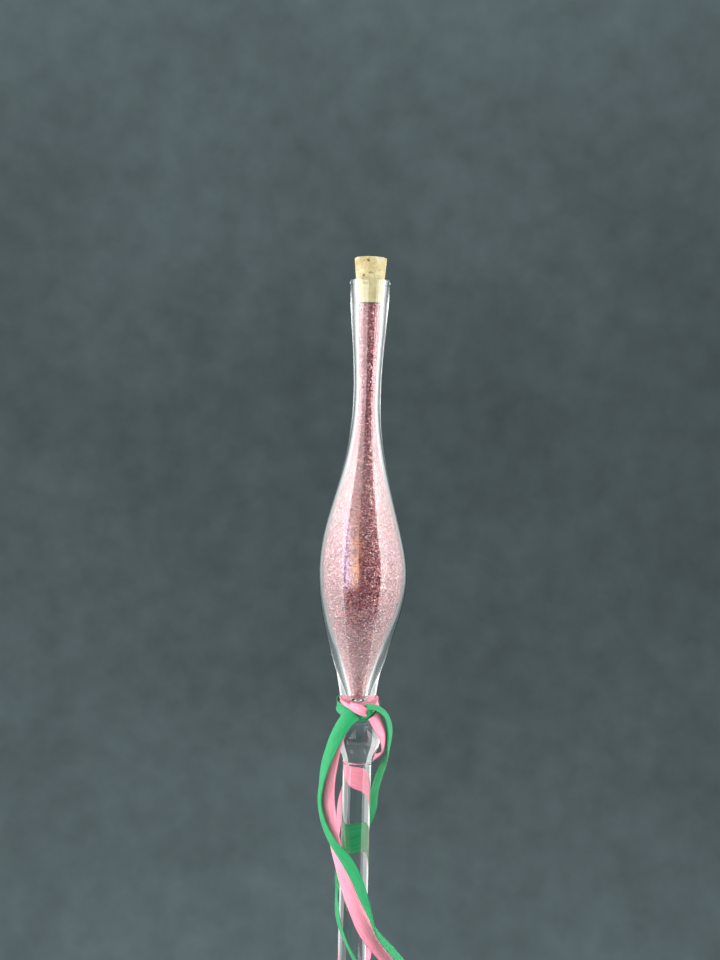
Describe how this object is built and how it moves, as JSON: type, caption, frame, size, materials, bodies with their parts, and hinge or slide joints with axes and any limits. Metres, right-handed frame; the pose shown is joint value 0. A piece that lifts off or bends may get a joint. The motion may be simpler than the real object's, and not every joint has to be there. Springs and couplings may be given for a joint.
{
  "type": "glass glitter wand",
  "caption": "Blown glass vial of glitter with a cork stopper, drawn out of a knobbed solid glass handle, with satin ribbons tied round the pinch.",
  "frame": {"origin": "middle of the straight glass grip, on the wand's axis", "axes": "+Z along the wand from the grip to the cork, -Y towards the ribbon knot, +X to the right of someone who faces the knot"},
  "size_m": [0.0394, 0.034, 0.3528],
  "materials": {
    "clear_glass": "clear, fire-polished, blown and drawn",
    "cork": "natural cork, matt, with dark pores",
    "glitter": "fine wine-red and pink metallised flakes",
    "green_satin": "emerald satin ribbon",
    "pink_satin": "pink satin ribbon"
  },
  "bodies": {
    "wand": {"glass_handle": "clear_glass", "glass_vial": "clear_glass", "glitter_fill": "glitter", "green_ribbon_wrap": "green_satin", "pink_ribbon_wrap": "pink_satin", "green_tail_left": "green_satin", "pink_tail_left": "pink_satin", "green_tail_right": "green_satin", "pink_tail_right": "pink_satin"},
    "cork": {"cork_stopper": "cork"}
  },
  "joints": [
    {"name": "cork_pull", "type": "slide", "parent": "wand", "child": "cork", "axis": [0, 0, 1], "range_m": [0, 0.03]}
  ]
}
